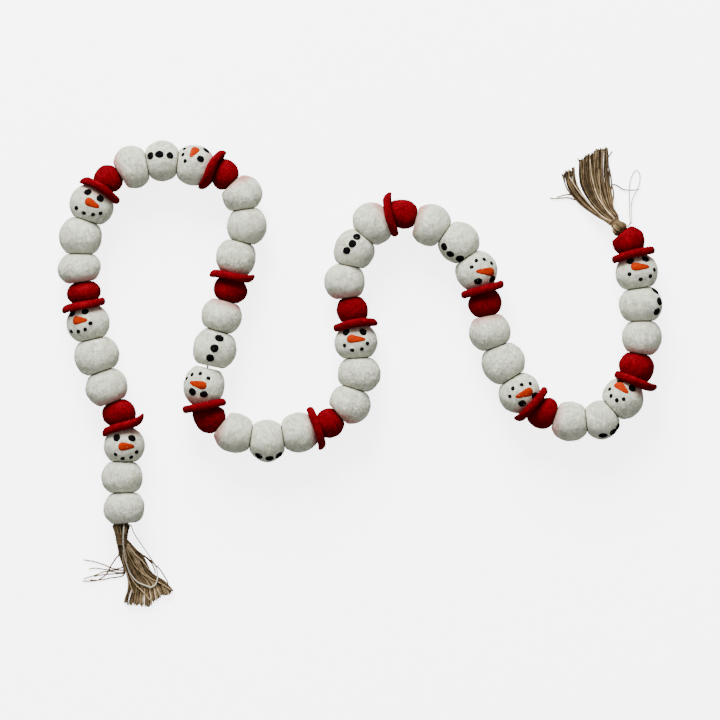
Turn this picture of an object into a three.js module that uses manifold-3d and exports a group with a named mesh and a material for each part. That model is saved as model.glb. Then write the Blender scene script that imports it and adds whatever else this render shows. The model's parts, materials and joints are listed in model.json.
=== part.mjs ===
// Felt snowman garland: thirteen snowmen of felted wool beads threaded on one cotton cord,
// with a jute tassel and a hanging loop at each end, lying in curves on a flat surface.
// Millimetres. The surface is z = 0 and +Z points up. The cord runs from the first tassel,
// through every snowman from its bottom ball to its hat, to the last tassel.

import * as THREE from 'three';
import { mergeVertices } from 'three/addons/utils/BufferGeometryUtils.js';
import Module from 'manifold-3d';

const wasm = await Module();
wasm.setup();

// Middle of the garland's box in the layout's own measure, in x, y and z
const boxMiddle = [0.2, 4.8, 0];

// Fit of the beads on the cord. A point nearer to the cord's line than the bore's reach is part
// of the bore.
const cordHeight = 20.8;
const cordRadius = 0.6;
const cordSides = 6;
const boreRadius = 1.5;
const boreReach = 3;
const pressedGap = 0.3;

// Felt balls: sections from one pressed end to the other, as shares of half length and radius
const ballSides = 12;
const ballSections = [
  { along: -1, radius: 0.55 },
  { along: -0.6, radius: 0.87 },
  { along: -0.14, radius: 1 },
  { along: 0.14, radius: 1 },
  { along: 0.6, radius: 0.87 },
  { along: 1, radius: 0.55 },
];

// Hats: a flat felt disc for the brim, fused to a smaller felt ball for the crown. The crown leans
// with the brim where it starts and stands straight from the lean's end on.
const hatSides = 12;
const brimThickness = 5;
const brimRadius = 22;
const brimRounding = 1.4;
const brimPressedRadius = 12.6;
const brimMiddleRadius = 16.5;
const brimBendPower = 1.4;
const crownSections = [
  { along: 0, radius: 0.66 },
  { along: 0.26, radius: 0.95 },
  { along: 0.56, radius: 1 },
  { along: 1, radius: 0.58 },
];
const crownLeanEnd = 0.56;
const brimEnd = 0.001;

// Where the end plane of a bead falls, as a share of the way to the next bead's centre, how far
// the two outermost beads reach past their centres, and the lean of the last crown's end
const midway = 0.5;
const crownShare = 0.44;
const firstReach = 16.3;
const lastReach = 13.2;
const lastLean = THREE.MathUtils.degToRad(25);

// Snowmen: centres of the three balls and the crown seen from above, their widths across the
// cord, how far the left, right, upper and lower edges of the brim bend towards the crown, how
// far the brim slips to the right, and where the head hangs loose from the middle ball, the bare
// length of cord between them
const snowmen = [
  { bottom: [-240, -132], middle: [-242, -102], head: [-240, -69], crown: [-246, -37],
    widths: [41.5, 41.8, 41.4, 32.8], brim: [-4, 7, 1, -1], shift: 1.3 },
  { bottom: [-258, -10], middle: [-268, 22], head: [-277, 55], crown: [-280, 87],
    widths: [42.5, 45, 43.5, 34], brim: [-3, 0.7, -1, 1], shift: -1.7 },
  { bottom: [-285, 109.5], middle: [-284, 143], head: [-272.5, 175.5], crown: [-255, 201],
    widths: [44, 43.5, 45, 32], brim: [-5.7, -0.6, 2, -1], shift: 1.6 },
  { bottom: [-231, 214], middle: [-201, 220.5], head: [-169, 216], crown: [-137.5, 205.5],
    widths: [43, 41, 42, 31], brim: [3.7, -5, -4, 3], shift: 1.3 },
  { bottom: [-120.5, 187], middle: [-115.5, 153], head: [-126.5, 122], crown: [-132, 89],
    widths: [41, 40.5, 40.5, 33], brim: [-4.6, 2.9, 0, 0], shift: 0 },
  { bottom: [-141, 63], middle: [-147.5, 30], head: [-158.5, -6], crown: [-152, -42],
    widths: [41, 44, 41.5, 32], brim: [0.5, -0.5, 0, 0], shift: -1.4, apart: 2.6 },
  { bottom: [-127, -56.5], middle: [-94, -64], head: [-62, -55.5], crown: [-31, -46.5],
    widths: [41, 42, 40.5, 32], brim: [-0.7, -4, 0, 0], shift: -0.9 },
  { bottom: [-10.5, -27], middle: [-1, 5], head: [-4, 35], crown: [-8, 68],
    widths: [42, 43, 43, 32], brim: [-0.5, -2.7, 2, -2], shift: 0.9 },
  { bottom: [-16, 97], middle: [-5.5, 130], head: [12, 156], crown: [45, 164],
    widths: [41.5, 41, 44, 32.5], brim: [5.6, 0.4, -1.5, 2], shift: 0.6 },
  { bottom: [71.5, 155], middle: [100, 137], head: [118.5, 107.5], crown: [127, 75.5],
    widths: [43, 42, 43, 34], brim: [-1.2, 0.4, 0, 0], shift: 0.6 },
  { bottom: [131, 46], middle: [145.5, 15], head: [162, -16], crown: [186.5, -35.5],
    widths: [43, 44, 42.5, 34], brim: [-1.8, -4.4, -1, 1], shift: -1.5 },
  { bottom: [213, -44.5], middle: [245.5, -43], head: [267, -21.5], crown: [280.5, 11],
    widths: [40, 40, 43.5, 36], brim: [0.5, 3.5, 2, -1], shift: 2.5 },
  { bottom: [286.5, 41], middle: [285, 74], head: [281, 107], crown: [273.5, 138],
    widths: [40.5, 43.5, 43, 34], brim: [-1.7, -0.2, 1, 0], shift: 0.4 },
];

// Tassels: the bound head from its top to its neck, with the radius at each distance along it,
// and the sections of the skirt, each seen from above as the places of its leftmost and
// rightmost strand, with the heights of its lowest and highest row of strands
const firstTassel = {
  name: 'tassel_first',
  top: [-241.3, -150.6, 20.5],
  neck: [-241.2, -171, 16],
  headSections: [
    { along: 0, radius: 7.6 },
    { along: 1.4, radius: 9 },
    { along: 7.2, radius: 8.5 },
    { along: 8, radius: 7.6 },
    { along: 12.4, radius: 7.3 },
    { along: 13.2, radius: 6.5 },
    { along: 17.4, radius: 5.6 },
    { along: 20.8, radius: 6.3 },
  ],
  skirt: [
    { left: [-244.4, -167.2], right: [-238, -166.8], low: 14.9, high: 19.1 },
    { left: [-246.2, -173.4], right: [-235.6, -172.4], low: 12.2, high: 18.6 },
    { left: [-241.8, -185.4], right: [-220.5, -183.9], low: 6, high: 12.6 },
    { left: [-237.8, -199.1], right: [-212.3, -198.6], low: 1.2, high: 6.2 },
    { left: [-235.7, -211.8], right: [-201.2, -206.8], low: 0.5, high: 4.2 },
    { left: [-239.8, -228.1], right: [-190, -216.9], low: 0.5, high: 4 },
  ],
  endBulge: 0.5,
  strays: [
    [[-245.2, -168, 17.3], [-249, -175, 12.5], [-246.4, -185.5, 6], [-245, -191.5, 2],
      [-250, -193.6, 0.8], [-256, -192.8, 0.55], [-268, -188.6, 0.55], [-281.4, -185.8, 0.55]],
    [[-244.6, -168, 14.2], [-248, -175, 10.2], [-243.9, -186.5, 4], [-241.5, -195, 1.2],
      [-240.6, -199.5, 0.55], [-245, -203, 0.55], [-263.1, -206, 0.55], [-282.5, -207, 0.55]],
  ],
};
const lastTassel = {
  name: 'tassel_last',
  top: [265.2, 149.6, 20.5],
  neck: [257.5, 158.8, 15.5],
  headSections: [
    { along: 0, radius: 5.4 },
    { along: 1.6, radius: 7 },
    { along: 5.6, radius: 6.8 },
    { along: 7.4, radius: 5.1 },
    { along: 9.6, radius: 5.1 },
    { along: 13, radius: 6.6 },
  ],
  skirt: [
    { left: [257, 154.4], right: [261.8, 158.4], low: 14, high: 18.2 },
    { left: [251.6, 156.4], right: [260.4, 163.8], low: 10.8, high: 16.6 },
    { left: [239.8, 164.1], right: [258.1, 172.2], low: 5, high: 10.6 },
    { left: [223.5, 177.3], right: [254, 187.5], low: 0.9, high: 5.2 },
    { left: [210.3, 192.5], right: [253, 208.8], low: 0.5, high: 4.1 },
    { left: [206.2, 206.2], right: [252, 232.2], low: 0.5, high: 4 },
  ],
  endBulge: 0,
  strays: [
    [[260, 157, 13.4], [264, 165, 10], [260.6, 174, 5], [257, 186, 2], [256.5, 193, 0.8],
      [258.5, 196.3, 0.55], [263, 194.5, 0.55], [268, 191.6, 0.55], [274.3, 190.8, 0.55],
      [284, 191.2, 0.55]],
    [[257.4, 152.9, 14.6], [252, 154.2, 10.3], [247, 156.2, 7.6], [237.8, 161.4, 3.4],
      [228.2, 168.8, 1.2], [220, 176.6, 0.55], [211.3, 181.6, 0.55], [193.5, 182.4, 0.55]],
  ],
};
const strandRows = 4;
const strandColumns = 10;
const strandRadius = 0.42;
const strandSides = 3;
const strandSteps = 4;
const straySteps = 10;
const headSides = 10;

// How far a strand strays from its place in the skirt, in strand spacings, and how long the last
// stretch to its cut end is, as a share of the way to the last section
const strandSway = 0.16;
const endReach = 0.9;
const endUnevenness = 0.1;

// Hanging loops: thin cotton cord that comes out between the end bead and the tassel, and goes
// back in beside itself
const loopRadius = 0.55;
const loopSides = 8;
const loopSteps = 46;
const firstLoop = [
  [-239.6, -149.5, 22.2], [-239.6, -149.5, 28.4], [-239.8, -151.6, 31.4], [-240.2, -158, 30.6],
  [-240.4, -166, 27], [-240, -175, 22.5], [-239, -184, 16.8], [-236, -194, 11],
  [-232.8, -200.7, 8], [-226.6, -207.7, 6.6], [-219.6, -211, 6], [-212.5, -213.2, 6],
  [-208.4, -211, 6], [-206.3, -206, 6.5], [-206, -199.5, 5.6], [-207.6, -192.5, 4.6],
  [-214.6, -181, 8], [-222, -170, 13], [-228.6, -160, 18.5], [-231.2, -154, 24.2],
  [-232.8, -150, 26.2], [-235.4, -149.5, 24.8], [-237.4, -149.5, 22.4],
];
const lastLoop = [
  [270.3, 152.6, 22.2], [272.6, 154.5, 22.3], [274.2, 157.2, 20.9], [274.4, 161, 16.5],
  [274, 166.5, 9], [274.1, 172, 3.2], [274.2, 178, 2.2], [273.9, 185, 2.2], [273.9, 191, 2.3],
  [274.4, 196.5, 2], [275.8, 202.5, 1.3], [278.2, 208, 0.9], [281.6, 210.8, 0.9],
  [284.4, 207.5, 0.9], [284.9, 201.5, 1.3], [283.4, 194.5, 2.2], [280.4, 188.3, 2.3],
  [277.5, 182.2, 2.2], [276.1, 176.5, 2.2], [275.8, 171, 3.2], [276, 166, 7.6],
  [276.2, 161, 13], [275.8, 157.6, 17.4], [274.3, 155.7, 19.2], [272.3, 154.2, 19.7],
  [270.3, 152.6, 20],
];

const colours = { white: '#e9e7dc', red: '#a80f16', jute: '#8a6a48', cotton: '#eceae4' };

function feltMaterial(colour) {
  return new THREE.MeshStandardMaterial({ color: colour, roughness: 0.95, metalness: 0 });
}

function fibreMaterial(colour) {
  return new THREE.MeshStandardMaterial({ color: colour, roughness: 0.85, metalness: 0 });
}

// The cord's curve through every bead centre, and the points where neighbouring beads meet.
// Two neighbours press on each other where their own straight bores cross, which is outside
// the bend, twice as far from the chord as the curve is.
const beadKinds = ['bottom', 'middle', 'head', 'crown'];
const centres = snowmen.flatMap((row) => beadKinds.map((kind) => new THREE.Vector3(...row[kind])));
const cordCurve = new THREE.CatmullRomCurve3(centres, false, 'centripetal');

function meetingPoint(index) {
  const kind = beadKinds[index % beadKinds.length];
  const share = kind === 'crown' ? crownShare : midway;
  const onCurve = cordCurve.getPoint((index + share) / (centres.length - 1));
  const onChord = centres[index].clone().lerp(centres[index + 1], share);
  return onCurve.multiplyScalar(2).sub(onChord);
}

const meetings = centres.slice(0, -1).map((centre, index) => meetingPoint(index));

function pointBeyond(from, towards, distance) {
  const step = towards.clone().sub(from).normalize();
  return towards.clone().addScaledVector(step, distance);
}

const firstMeeting = pointBeyond(meetings[0], centres[0], firstReach);
const lastCentre = centres[centres.length - 1];
const lastMeeting = pointBeyond(meetings[meetings.length - 1], lastCentre, lastReach);
const joints = [firstMeeting, ...meetings, lastMeeting];

function headingOf(index) {
  const step = joints[index + 1].clone().sub(joints[index]);
  return Math.atan2(step.y, step.x);
}

// The turn of the cord where two beads meet. At the last tassel the crown is pressed askew.
function turnAt(jointIndex) {
  if (jointIndex === 0) {
    return 0;
  }
  if (jointIndex === joints.length - 1) {
    return 2 * lastLean;
  }
  const turn = headingOf(jointIndex) - headingOf(jointIndex - 1);
  return Math.atan2(Math.sin(turn), Math.cos(turn));
}

// Turns a closed profile of [radius, along] pairs round the bead's axis, with a flat side down,
// then moves each point. In the bead's own frame x is across, y along the cord and z up.
function turnedBead(profile, sides, movePoint) {
  const points = profile.map(([radius, along]) => new THREE.Vector2(radius, along));
  points.push(points[0].clone());
  const turned = new THREE.LatheGeometry(points, sides, Math.PI / sides);
  turned.deleteAttribute('normal');
  turned.deleteAttribute('uv');
  const shape = mergeVertices(turned, 1e-4);
  const position = shape.getAttribute('position');
  const point = new THREE.Vector3();
  for (let index = 0; index < position.count; index += 1) {
    point.fromBufferAttribute(position, index);
    movePoint(point);
    position.setXYZ(index, point.x, point.y, point.z);
  }
  shape.computeVertexNormals();
  return shape;
}

// The leaning planes that press a bead's ends each halve the angle to its neighbour. A point of
// the bore lies on its plane, and any other point stays where it is or is pressed back to it.
function pressStart(point, halfLength, turn) {
  const plane = -halfLength - point.x * Math.tan(turn / 2);
  const inBore = point.y < 0 && Math.hypot(point.x, point.z) < boreReach;
  point.y = inBore ? plane : Math.max(point.y, plane);
}

function pressEnd(point, halfLength, turn) {
  const plane = halfLength + point.x * Math.tan(turn / 2);
  const inBore = point.y > 0 && Math.hypot(point.x, point.z) < boreReach;
  point.y = inBore ? plane : Math.min(point.y, plane);
}

function placeBead(mesh, index, bareCord = 0) {
  const step = joints[index + 1].clone().sub(joints[index]);
  const share = 0.5 + bareCord / 2 / step.length();
  const middle = joints[index].clone().addScaledVector(step, share);
  mesh.position.set(middle.x, middle.y, cordHeight);
  mesh.rotation.z = headingOf(index) - Math.PI / 2;
  return mesh;
}

function halfLengthOf(index, bareCord = 0) {
  return (joints[index].distanceTo(joints[index + 1]) - pressedGap - bareCord) / 2;
}

function feltBall(name, index, width, bareCord = 0) {
  const half = halfLengthOf(index, bareCord);
  const flatSide = 1 / Math.cos(Math.PI / ballSides);
  const profile = ballSections.map(({ along, radius }) => [
    cordHeight * radius * flatSide,
    along * half,
  ]);
  profile.unshift([boreRadius, -half]);
  profile.push([boreRadius, half]);
  const widen = width / 2 / cordHeight;
  const geometry = turnedBead(profile, ballSides, (point) => {
    if (Math.hypot(point.x, point.z) > boreReach) {
      point.x *= widen;
    }
    pressStart(point, half, turnAt(index));
    pressEnd(point, half, turnAt(index + 1));
  });
  const mesh = new THREE.Mesh(geometry, feltMaterial(colours.white));
  mesh.name = name;
  return placeBead(mesh, index, bareCord);
}

// The brim is pressed flat near the cord and bends outside that, by its row's edge values.
// It also sits a little high on the cord, because its rim stands on the surface, and slips to
// one side by its row's shift.
function bendBrim(point, edges, shift) {
  const radius = Math.hypot(point.x, point.z);
  const reach = Math.max(0, (radius - brimPressedRadius) / (brimRadius - brimPressedRadius));
  const [left, right, upper, lower] = edges;
  const across = radius > 0 ? point.x / radius : 0;
  const above = radius > 0 ? point.z / radius : 0;
  const sideBend = across < 0 ? left : right;
  const heightBend = above < 0 ? lower : upper;
  point.y += reach ** brimBendPower * (sideBend * across ** 2 + heightBend * above ** 2);
  point.z += reach * (brimRadius - cordHeight);
  point.x += reach * shift;
}

// The whole brim leans with the head ball's end plane, and the crown's lean fades along it
function leanHat(point, halfLength, turn, alongCrown) {
  const lean = -turn / 2;
  if (alongCrown < brimEnd) {
    const rise = point.y + halfLength;
    point.y = point.x * Math.sin(lean) + rise * Math.cos(lean) - halfLength;
    point.x = point.x * Math.cos(lean) - rise * Math.sin(lean);
  } else {
    point.y += point.x * Math.tan(lean) * Math.max(0, 1 - alongCrown / crownLeanEnd);
  }
}

function feltHat(name, index, width, edges, shift) {
  const half = halfLengthOf(index);
  const brimTop = brimThickness - half;
  const flatSide = 1 / Math.cos(Math.PI / hatSides);
  const crownLength = half - brimTop;
  const profile = [
    [boreRadius, -half],
    [brimPressedRadius, -half],
    [brimMiddleRadius, -half],
    [(brimRadius - brimRounding) * flatSide, -half],
    [brimRadius * flatSide, brimTop - brimThickness / 2],
    [(brimRadius - brimRounding) * flatSide, brimTop],
    [brimMiddleRadius, brimTop],
    ...crownSections.map(({ along, radius }) => [
      (width / 2) * radius * flatSide,
      brimTop + along * crownLength,
    ]),
    [boreRadius, half],
  ];
  const geometry = turnedBead(profile, hatSides, (point) => {
    const alongCrown = Math.max(0, (point.y - brimTop) / crownLength);
    if (alongCrown < brimEnd) {
      bendBrim(point, edges, shift);
    }
    leanHat(point, half, turnAt(index), alongCrown);
    pressEnd(point, half, turnAt(index + 1));
  });
  const mesh = new THREE.Mesh(geometry, feltMaterial(colours.red));
  mesh.name = name;
  return placeBead(mesh, index);
}

// A cord of several flat sides along a curve
function cordGeometry(curve, radius, sides, steps) {
  const section = new THREE.Shape();
  for (let side = 0; side < sides; side += 1) {
    const angle = (2 * Math.PI * side) / sides;
    section[side === 0 ? 'moveTo' : 'lineTo'](radius * Math.cos(angle), radius * Math.sin(angle));
  }
  section.closePath();
  return new THREE.ExtrudeGeometry(section, { steps, bevelEnabled: false, extrudePath: curve });
}

// The threading cord runs straight through each bore and bends where two beads meet
function threadingCord() {
  const along = joints.map((joint) => new THREE.Vector3(joint.x, joint.y, cordHeight));
  const polyline = new THREE.Curve();
  polyline.getPoint = (share) => {
    const place = share * (along.length - 1);
    const index = Math.min(Math.floor(place), along.length - 2);
    return along[index].clone().lerp(along[index + 1], place - index);
  };
  polyline.getPointAt = polyline.getPoint;
  const geometry = cordGeometry(polyline, cordRadius, cordSides, along.length - 1);
  const mesh = new THREE.Mesh(geometry, fibreMaterial(colours.cotton));
  mesh.name = 'threading_cord';
  return mesh;
}

function hangingLoop(name, route) {
  const curve = new THREE.CatmullRomCurve3(route.map((point) => new THREE.Vector3(...point)));
  const geometry = cordGeometry(curve, loopRadius, loopSides, loopSteps);
  const mesh = new THREE.Mesh(geometry, fibreMaterial(colours.cotton));
  mesh.name = name;
  return mesh;
}

function solidOf(geometry) {
  const bare = geometry.clone();
  bare.deleteAttribute('normal');
  bare.deleteAttribute('uv');
  const shape = mergeVertices(bare, 1e-5);
  const vertProperties = new Float32Array(shape.getAttribute('position').array);
  const triVerts = new Uint32Array(shape.getIndex().array);
  return new wasm.Manifold(new wasm.Mesh({ numProp: 3, vertProperties, triVerts }));
}

function geometryOf(solid) {
  const { vertProperties, triVerts } = solid.getMesh();
  const geometry = new THREE.BufferGeometry();
  geometry.setAttribute('position', new THREE.BufferAttribute(vertProperties, 3));
  geometry.setIndex(new THREE.BufferAttribute(triVerts, 1));
  geometry.computeVertexNormals();
  return geometry;
}

// The bound head, turned about the line from its top to its neck
function tasselHead(design) {
  const top = new THREE.Vector3(...design.top);
  const direction = new THREE.Vector3(...design.neck).sub(top).normalize();
  const sections = design.headSections;
  const end = sections[sections.length - 1].along;
  const profile = sections.map(({ along, radius }) => new THREE.Vector2(radius, along));
  profile.unshift(new THREE.Vector2(0, 0));
  profile.push(new THREE.Vector2(0, end));
  const turned = new THREE.LatheGeometry(profile, headSides);
  const turn = new THREE.Quaternion().setFromUnitVectors(new THREE.Vector3(0, 1, 0), direction);
  turned.applyQuaternion(turn);
  turned.translate(top.x, top.y, top.z);
  return turned;
}

// Small repeatable differences between strands, from -1 to 1
function variation(seed) {
  return Math.sin(seed * 12.9) * Math.cos(seed * 4.1);
}

// One strand keeps its own place in every section of the skirt, so no two strands cross
function strandRoute(design, row, column) {
  const seed = row * strandColumns + column + 1;
  const place = (column + (row + 0.5) / strandRows) / strandColumns;
  const level = row / (strandRows - 1);
  const route = design.skirt.map((section, index) => {
    const sway = index > 1 ? (strandSway * variation(seed + index)) / strandColumns : 0;
    const left = new THREE.Vector3(...section.left, section.low);
    const right = new THREE.Vector3(...section.right, section.low);
    const point = left.lerp(right, place + sway);
    point.z = THREE.MathUtils.lerp(section.low, section.high, level);
    return point;
  });
  const last = route.length - 1;
  const bulge = design.endBulge * 4 * place * (1 - place);
  const reach = endReach + bulge + endUnevenness * variation(seed);
  route[last].lerpVectors(route[last - 1], route[last], reach);
  return route;
}

function strandSolid(route, steps) {
  const curve = new THREE.CatmullRomCurve3(route);
  return solidOf(cordGeometry(curve, strandRadius, strandSides, steps));
}

function tassel(design) {
  const strands = [];
  for (let row = 0; row < strandRows; row += 1) {
    for (let column = 0; column < strandColumns; column += 1) {
      strands.push(strandSolid(strandRoute(design, row, column), strandSteps));
    }
  }
  design.strays.forEach((route) => {
    strands.push(strandSolid(route.map((point) => new THREE.Vector3(...point)), straySteps));
  });
  const whole = wasm.Manifold.union([solidOf(tasselHead(design)), ...strands]);
  const mesh = new THREE.Mesh(geometryOf(whole), fibreMaterial(colours.jute));
  mesh.name = design.name;
  return mesh;
}

// Everything is laid out about the middle of the curve, then moved so that the origin is under
// the middle of the whole garland's box
const layout = new THREE.Group();
layout.position.set(...boxMiddle).negate();
snowmen.forEach((row, place) => {
  const number = String(place + 1).padStart(2, '0');
  const index = place * beadKinds.length;
  const [bottomWidth, middleWidth, headWidth, crownWidth] = row.widths;
  layout.add(feltBall(`snowman_${number}_bottom`, index, bottomWidth));
  layout.add(feltBall(`snowman_${number}_middle`, index + 1, middleWidth));
  layout.add(feltBall(`snowman_${number}_head`, index + 2, headWidth, row.apart));
  layout.add(feltHat(`snowman_${number}_hat`, index + 3, crownWidth, row.brim, row.shift));
});
layout.add(threadingCord());
layout.add(tassel(firstTassel));
layout.add(tassel(lastTassel));
layout.add(hangingLoop('loop_first', firstLoop));
layout.add(hangingLoop('loop_last', lastLoop));

const garland = new THREE.Group();
garland.add(layout);

export default garland;
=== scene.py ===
import json
import random
from math import acos, asin, atan, copysign, cos, pi, radians, sin, sqrt

import bmesh
import bpy
import numpy as np
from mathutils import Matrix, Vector, noise

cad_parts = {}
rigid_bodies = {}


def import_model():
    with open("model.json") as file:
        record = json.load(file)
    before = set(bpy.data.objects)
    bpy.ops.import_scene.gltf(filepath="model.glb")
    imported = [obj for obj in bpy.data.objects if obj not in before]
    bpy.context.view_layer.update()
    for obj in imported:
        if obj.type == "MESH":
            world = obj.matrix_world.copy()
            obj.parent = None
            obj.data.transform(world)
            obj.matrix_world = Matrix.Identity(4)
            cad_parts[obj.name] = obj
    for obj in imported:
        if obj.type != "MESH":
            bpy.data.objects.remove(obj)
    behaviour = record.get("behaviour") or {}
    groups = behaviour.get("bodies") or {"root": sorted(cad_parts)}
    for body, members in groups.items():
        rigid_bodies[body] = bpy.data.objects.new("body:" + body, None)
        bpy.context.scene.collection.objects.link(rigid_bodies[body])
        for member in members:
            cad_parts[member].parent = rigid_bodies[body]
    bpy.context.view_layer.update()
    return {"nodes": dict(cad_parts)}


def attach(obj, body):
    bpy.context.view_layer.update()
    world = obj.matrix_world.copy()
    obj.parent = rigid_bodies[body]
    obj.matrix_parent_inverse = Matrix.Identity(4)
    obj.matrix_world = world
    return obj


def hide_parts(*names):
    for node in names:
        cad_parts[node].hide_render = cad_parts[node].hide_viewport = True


for startObject in list(bpy.data.objects):
    bpy.data.objects.remove(startObject)
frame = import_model()

mm = 0.001
# the middle, in mm, of the layout in which the loops and tassels are given
layoutMiddle = np.array((0.2, 4.8, 0.0))
pieces = bpy.context.scene.collection


def newObject(name, data):
    made = bpy.data.objects.new(name, data)
    pieces.objects.link(made)
    return made


# camera, straight above and far off

camera = {
    "across": 731.5, "middle": (-0.2, 13.0), "height": 12020.0, "subject": 20.0, "sensor": 36.0,
    "farEnd": 60,
}


def placeCamera(look):
    lens = bpy.data.cameras.new("topCamera")
    lens.sensor_width = look["sensor"]
    lens.lens = look["sensor"] * (look["height"] - look["subject"]) / look["across"]
    lens.clip_end = look["farEnd"]
    view = newObject("topCamera", lens)
    view.location = (look["middle"][0] * mm, look["middle"][1] * mm, look["height"] * mm)
    bpy.context.scene.camera = view


placeCamera(camera)
print("camera in place")


# node graphs, for materials and for Geometry Nodes

class Value:
    def __init__(self, graph, socket):
        self.graph = graph
        self.socket = socket

    def other(self, name):
        return Value(self.graph, self.socket.node.outputs[name])

    def __add__(self, more):
        return self.graph.maths("ADD", self, more)

    def __sub__(self, less):
        return self.graph.maths("SUBTRACT", self, less)

    def __rsub__(self, more):
        return self.graph.maths("SUBTRACT", more, self)

    def __mul__(self, times):
        return self.graph.maths("MULTIPLY", self, times)

    def __abs__(self):
        return self.graph.maths("ABSOLUTE", self)


class Graph:
    def __init__(self, tree):
        self.tree = tree
        tree.nodes.clear()

    def feed(self, socket, value):
        if isinstance(value, Value):
            self.tree.links.new(value.socket, socket)
        elif isinstance(value, list):
            for one in value:
                self.feed(socket, one)
        else:
            socket.default_value = value

    def add(self, kind, inputs=None, output=0, **settings):
        made = self.tree.nodes.new(kind)
        for name, value in settings.items():
            setattr(made, name, value)
        for key, value in (inputs or {}).items():
            self.feed(made.inputs[key], value)
        return Value(self, made.outputs[output]) if len(made.outputs) else None

    def maths(self, operation, *values):
        return self.add("ShaderNodeMath", dict(enumerate(values)), operation=operation)

    def vector(self, operation, *values):
        return self.add("ShaderNodeVectorMath", dict(enumerate(values)), operation=operation)

    def scaled(self, vector, times):
        return self.add("ShaderNodeVectorMath", {0: vector, "Scale": times}, operation="SCALE")

    def clamp(self, value):
        return self.add("ShaderNodeClamp", {0: value})

    def smooth(self, value, low, high):
        ends = {0: value, 1: low, 2: high}
        return self.add("ShaderNodeMapRange", ends, interpolation_type="SMOOTHSTEP")

    def mixColours(self, first, second, share):
        first, second = (colour(*c) if isinstance(c, tuple) else c for c in (first, second))
        return self.add("ShaderNodeMix", {0: share, 6: first, 7: second}, 2, data_type="RGBA")

    def noise(self, place, scale, detail=2.0, roughness=0.5):
        values = {"Vector": place, "Scale": scale, "Detail": detail, "Roughness": roughness}
        return self.add("ShaderNodeTexNoise", values)

    def objectPlace(self):
        return self.add("ShaderNodeTexCoord", output="Object")

    def marked(self, name):
        return self.add("ShaderNodeAttribute", output="Fac", attribute_name=name)


def colour(red, green, blue):
    # from picture values of 0 to 255 to the linear ones that shaders take
    shares = [value / 255 for value in (red, green, blue)]
    linear = [s / 12.92 if s <= 0.04045 else ((s + 0.055) / 1.055) ** 2.4 for s in shares]
    return (*linear, 1.0)


# materials, with colours in picture values

# in each wool, one colour is a painted red reflection from the hats and one is painted shade in the
# creases between balls
whiteWool = {
    "dark": (172, 177, 140), "light": (244, 249, 222), "fibre": (255, 255, 246),
    "paintedRedReflection": (204, 92, 94), "speck": (150, 138, 100), "paintedCreaseShade": (122, 112, 84),
    "mottle": 330, "fibreScale": 820, "fibreShare": 0.5, "bump": 1.0, "gloss": 0.1, "sheen": 0.1,
}
redWool = {
    "dark": (75, 2, 13), "light": (116, 3, 15), "fibre": (140, 9, 21),
    "paintedRedReflection": (124, 4, 20), "speck": (52, 4, 14), "paintedCreaseShade": (44, 3, 16),
    "mottle": 360, "fibreScale": 820, "fibreShare": 0.4, "bump": 0.9, "gloss": 0.0, "sheen": 0.0,
}
blackWool = {
    "dark": (3, 3, 4), "light": (11, 10, 11), "fibre": (30, 29, 29),
    "paintedRedReflection": (11, 10, 11), "speck": (3, 3, 4), "paintedCreaseShade": (3, 3, 4),
    "mottle": 500, "fibreScale": 1200, "fibreShare": 0.25, "bump": 0.5, "gloss": 0.0, "sheen": 0.0,
}
orangeWool = {
    "dark": (134, 25, 1), "light": (158, 36, 1), "fibre": (172, 56, 4),
    "paintedRedReflection": (182, 50, 4), "speck": (120, 26, 4), "paintedCreaseShade": (120, 26, 4),
    "mottle": 500, "fibreScale": 1200, "fibreShare": 0.3, "bump": 0.5, "gloss": 0.0, "sheen": 0.0,
}
felt = {
    "warpScale": 110, "warpReach": 0.009, "cloudScale": 70, "thickScale": 150, "speckScale": 620,
    "patchFade": (0.3, 0.7), "thickFade": (0.45, 0.62), "speckFade": (0.64, 0.74),
    # the least share of the painted red reflection, where the mottle is low
    "cloudShare": 0.3, "speckShare": 0.5, "paintedRedReflectionLeast": 0.36, "raised": (0.55, 0.45),
    "sunk": (0.5, 0.4), "depth": 0.0009, "roughness": 0.95,
}
lightFibres = {
    "turns": ((0.3, 0.0, 0.5), (1.2, 0.4, 1.9), (0.5, 1.3, 2.8), (0.9, 2.2, 0.2)),
    "stretch": 0.14, "scale": 1.0, "middle": 0.5, "sharpness": 16,
}
darkFibres = {
    "turns": ((0.7, 0.2, 1.1), (0.2, 1.0, 2.4)),
    "stretch": 0.1, "scale": 0.6, "middle": 0.44, "sharpness": 26,
}
juteLook = {
    "stops": [
        (0.0, (26, 19, 12)), (0.3, (62, 49, 32)), (0.6, (104, 85, 59)), (0.85, (146, 124, 91)),
        (1.0, (202, 177, 142)),
    ],
    "stretch": (130, 5, 1), "streakShare": 0.7, "patchScale": 160, "patchShare": 0.5,
    "bump": 0.5, "depth": 0.0002, "roughness": 0.85, "gloss": 0.1, "sheen": 0.0,
}
cottonLook = {
    # the dark colour is painted shade between the plies of a near-white cord
    "dark": (158, 152, 134), "light": (222, 217, 198), "twist": 700.0, "plies": 3,
    "plyShare": 0.7, "fuzzScale": 2500, "fuzzShare": 0.45,
    "bump": 0.4, "depth": 0.0002, "roughness": 0.8, "gloss": 0.1, "sheen": 0.1,
}


def newMaterial(name):
    material = bpy.data.materials.new(name)
    material.use_nodes = True
    return material, Graph(material.node_tree)


def finishMaterial(g, baseColour, height, look):
    raised = {"Strength": look["bump"], "Distance": look["depth"], "Height": height}
    surface = g.add("ShaderNodeBsdfPrincipled", {
        "Base Color": baseColour, "Roughness": look["roughness"], "Sheen Roughness": 0.55,
        "Specular IOR Level": look["gloss"], "Sheen Weight": look["sheen"],
        "Normal": g.add("ShaderNodeBump", raised),
    })
    g.add("ShaderNodeOutputMaterial", {"Surface": surface})


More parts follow.
